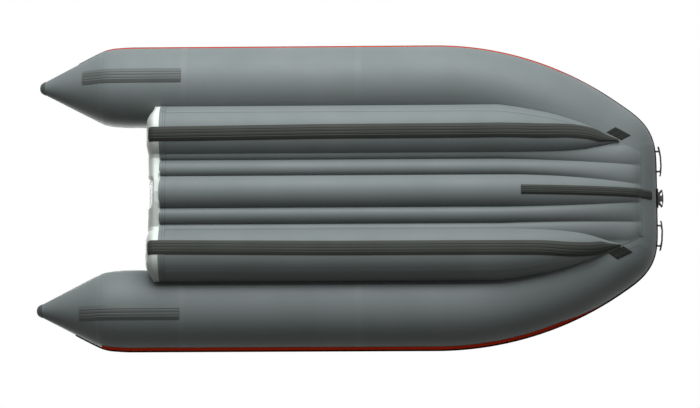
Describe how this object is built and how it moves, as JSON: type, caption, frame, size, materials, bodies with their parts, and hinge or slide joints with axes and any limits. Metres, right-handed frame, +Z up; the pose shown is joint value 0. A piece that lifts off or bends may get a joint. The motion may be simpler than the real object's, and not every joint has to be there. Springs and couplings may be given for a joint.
{
  "type": "inflatable boat",
  "caption": "Open inflatable boat with tapered stern cones, ribbed air floor over two sponsons, raked transom, sliding benches, oarlocks, valves and a swinging tow ring.",
  "frame": {"origin": "under the middle of the boat, on the surface that the sponson strakes rest on", "axes": "+X towards the bow, +Y to port, +Z up"},
  "size_m": [3.339, 1.641, 0.6295],
  "materials": {
    "hull_pvc": "satin coated fabric",
    "strake_rubber": "matt ribbed",
    "rail_rubber": "satin",
    "stripe_red": "satin",
    "band_pvc": "satin coated fabric",
    "deck_pvc": "satin coated fabric",
    "fitting_plastic": "moulded",
    "transom_ply": "painted plywood",
    "plate_plastic": "moulded",
    "bench_ply": "painted plywood",
    "valve_plastic": "moulded"
  },
  "bodies": {
    "hull": {"bow_tube": "hull_pvc", "bow_valve_body": "valve_plastic", "drain_socket": "valve_plastic", "floor_bottom_skin": "hull_pvc", "floor_deck_skin": "deck_pvc", "floor_valve_body": "valve_plastic", "inner_motor_plate": "plate_plastic", "keel_strake": "strake_rubber", "outer_motor_plate": "plate_plastic", "port_baffle": "hull_pvc", "port_bench_rail": "rail_rubber", "port_bow_handle": "fitting_plastic", "port_bow_patch": "strake_rubber", "port_cone_cap": "fitting_plastic", "port_cone_patch": "strake_rubber", "port_inner_web": "hull_pvc", "port_oarlock_base": "fitting_plastic", "port_outer_web": "hull_pvc", "port_side_tube": "hull_pvc", "port_side_valve_body": "valve_plastic", "port_sponson": "hull_pvc", "port_sponson_strake": "strake_rubber", "port_transom_holder": "rail_rubber", "red_stripe": "stripe_red", "rub_rail": "rail_rubber", "starboard_baffle": "hull_pvc", "starboard_bench_rail": "rail_rubber", "starboard_bow_handle": "fitting_plastic", "starboard_bow_patch": "strake_rubber", "starboard_cone_cap": "fitting_plastic", "starboard_cone_patch": "strake_rubber", "starboard_inner_web": "hull_pvc", "starboard_oarlock_base": "fitting_plastic", "starboard_outer_web": "hull_pvc", "starboard_side_tube": "hull_pvc", "starboard_side_valve_body": "valve_plastic", "starboard_sponson": "hull_pvc", "starboard_sponson_strake": "strake_rubber", "starboard_transom_holder": "rail_rubber", "stern_band": "band_pvc", "tow_eye_base": "fitting_plastic", "transom_board": "transom_ply"},
    "tow_ring": {"tow_ring": "fitting_plastic"},
    "aft_bench": {"aft_bench_board": "bench_ply", "aft_bench_port_shoe": "fitting_plastic", "aft_bench_starboard_shoe": "fitting_plastic"},
    "fore_bench": {"fore_bench_board": "bench_ply", "fore_bench_port_shoe": "fitting_plastic", "fore_bench_starboard_shoe": "fitting_plastic"},
    "port_oarlock_fork": {"port_oarlock_fork": "fitting_plastic"},
    "starboard_oarlock_fork": {"starboard_oarlock_fork": "fitting_plastic"},
    "port_side_valve_plunger": {"port_side_valve_plunger": "fitting_plastic"},
    "port_side_valve_cap": {"port_side_valve_cap": "fitting_plastic"},
    "starboard_side_valve_plunger": {"starboard_side_valve_plunger": "fitting_plastic"},
    "starboard_side_valve_cap": {"starboard_side_valve_cap": "fitting_plastic"},
    "bow_valve_plunger": {"bow_valve_plunger": "fitting_plastic"},
    "bow_valve_cap": {"bow_valve_cap": "fitting_plastic"},
    "floor_valve_plunger": {"floor_valve_plunger": "fitting_plastic"},
    "floor_valve_cap": {"floor_valve_cap": "fitting_plastic"},
    "drain_plug": {"drain_plug": "fitting_plastic"}
  },
  "joints": [
    {"name": "tow_ring_swing", "type": "hinge", "parent": "hull", "child": "tow_ring", "pos_m": [1.6476, 0, 0.41452], "axis": [0, 1, 0], "range_deg": [-75, 75]},
    {"name": "aft_bench_slide", "type": "slide", "parent": "hull", "child": "aft_bench", "axis": [1, 0, 0], "range_m": [-0.15, 0.15]},
    {"name": "fore_bench_slide", "type": "slide", "parent": "hull", "child": "fore_bench", "axis": [1, 0, 0], "range_m": [-0.2, 0.2]},
    {"name": "port_oarlock_turn", "type": "hinge", "parent": "hull", "child": "port_oarlock_fork", "pos_m": [-0.1895, 0.57765, 0.52717], "axis": [0, -0.1045, 0.9945], "continuous": true},
    {"name": "starboard_oarlock_turn", "type": "hinge", "parent": "hull", "child": "starboard_oarlock_fork", "pos_m": [-0.1895, -0.57765, 0.52717], "axis": [0, 0.1045, 0.9945], "continuous": true},
    {"name": "port_side_valve_press", "type": "slide", "parent": "hull", "child": "port_side_valve_plunger", "axis": [0, 0.9135, -0.4067], "range_m": [0, 0.005], "stiffness_N_per_m": 150, "springref_m": -0.002},
    {"name": "port_side_valve_cap_turn", "type": "hinge", "parent": "hull", "child": "port_side_valve_cap", "pos_m": [-0.8195, 0.40466, 0.40149], "axis": [0, -0.9135, 0.4067], "range_deg": [0, 90]},
    {"name": "starboard_side_valve_press", "type": "slide", "parent": "hull", "child": "starboard_side_valve_plunger", "axis": [0, -0.9135, -0.4067], "range_m": [0, 0.005], "stiffness_N_per_m": 150, "springref_m": -0.002},
    {"name": "starboard_side_valve_cap_turn", "type": "hinge", "parent": "hull", "child": "starboard_side_valve_cap", "pos_m": [-0.8195, -0.40466, 0.40149], "axis": [0, 0.9135, 0.4067], "range_deg": [0, 90]},
    {"name": "bow_valve_press", "type": "slide", "parent": "hull", "child": "bow_valve_plunger", "axis": [0, 0.9135, -0.4067], "range_m": [0, 0.005], "stiffness_N_per_m": 150, "springref_m": -0.002},
    {"name": "bow_valve_cap_turn", "type": "hinge", "parent": "hull", "child": "bow_valve_cap", "pos_m": [0.2105, 0.40466, 0.40149], "axis": [0, -0.9135, 0.4067], "range_deg": [0, 90]},
    {"name": "floor_valve_press", "type": "slide", "parent": "hull", "child": "floor_valve_plunger", "axis": [0, 0, -1], "range_m": [0, 0.005], "stiffness_N_per_m": 150, "springref_m": -0.002},
    {"name": "floor_valve_cap_turn", "type": "hinge", "parent": "hull", "child": "floor_valve_cap", "pos_m": [-0.8195, 0.3376, 0.20452], "axis": [0, 0, 1], "range_deg": [0, 90]},
    {"name": "drain_plug_pull", "type": "slide", "parent": "hull", "child": "drain_plug", "axis": [-0.9848, 0, -0.1736], "range_m": [0, 0.03]}
  ]
}
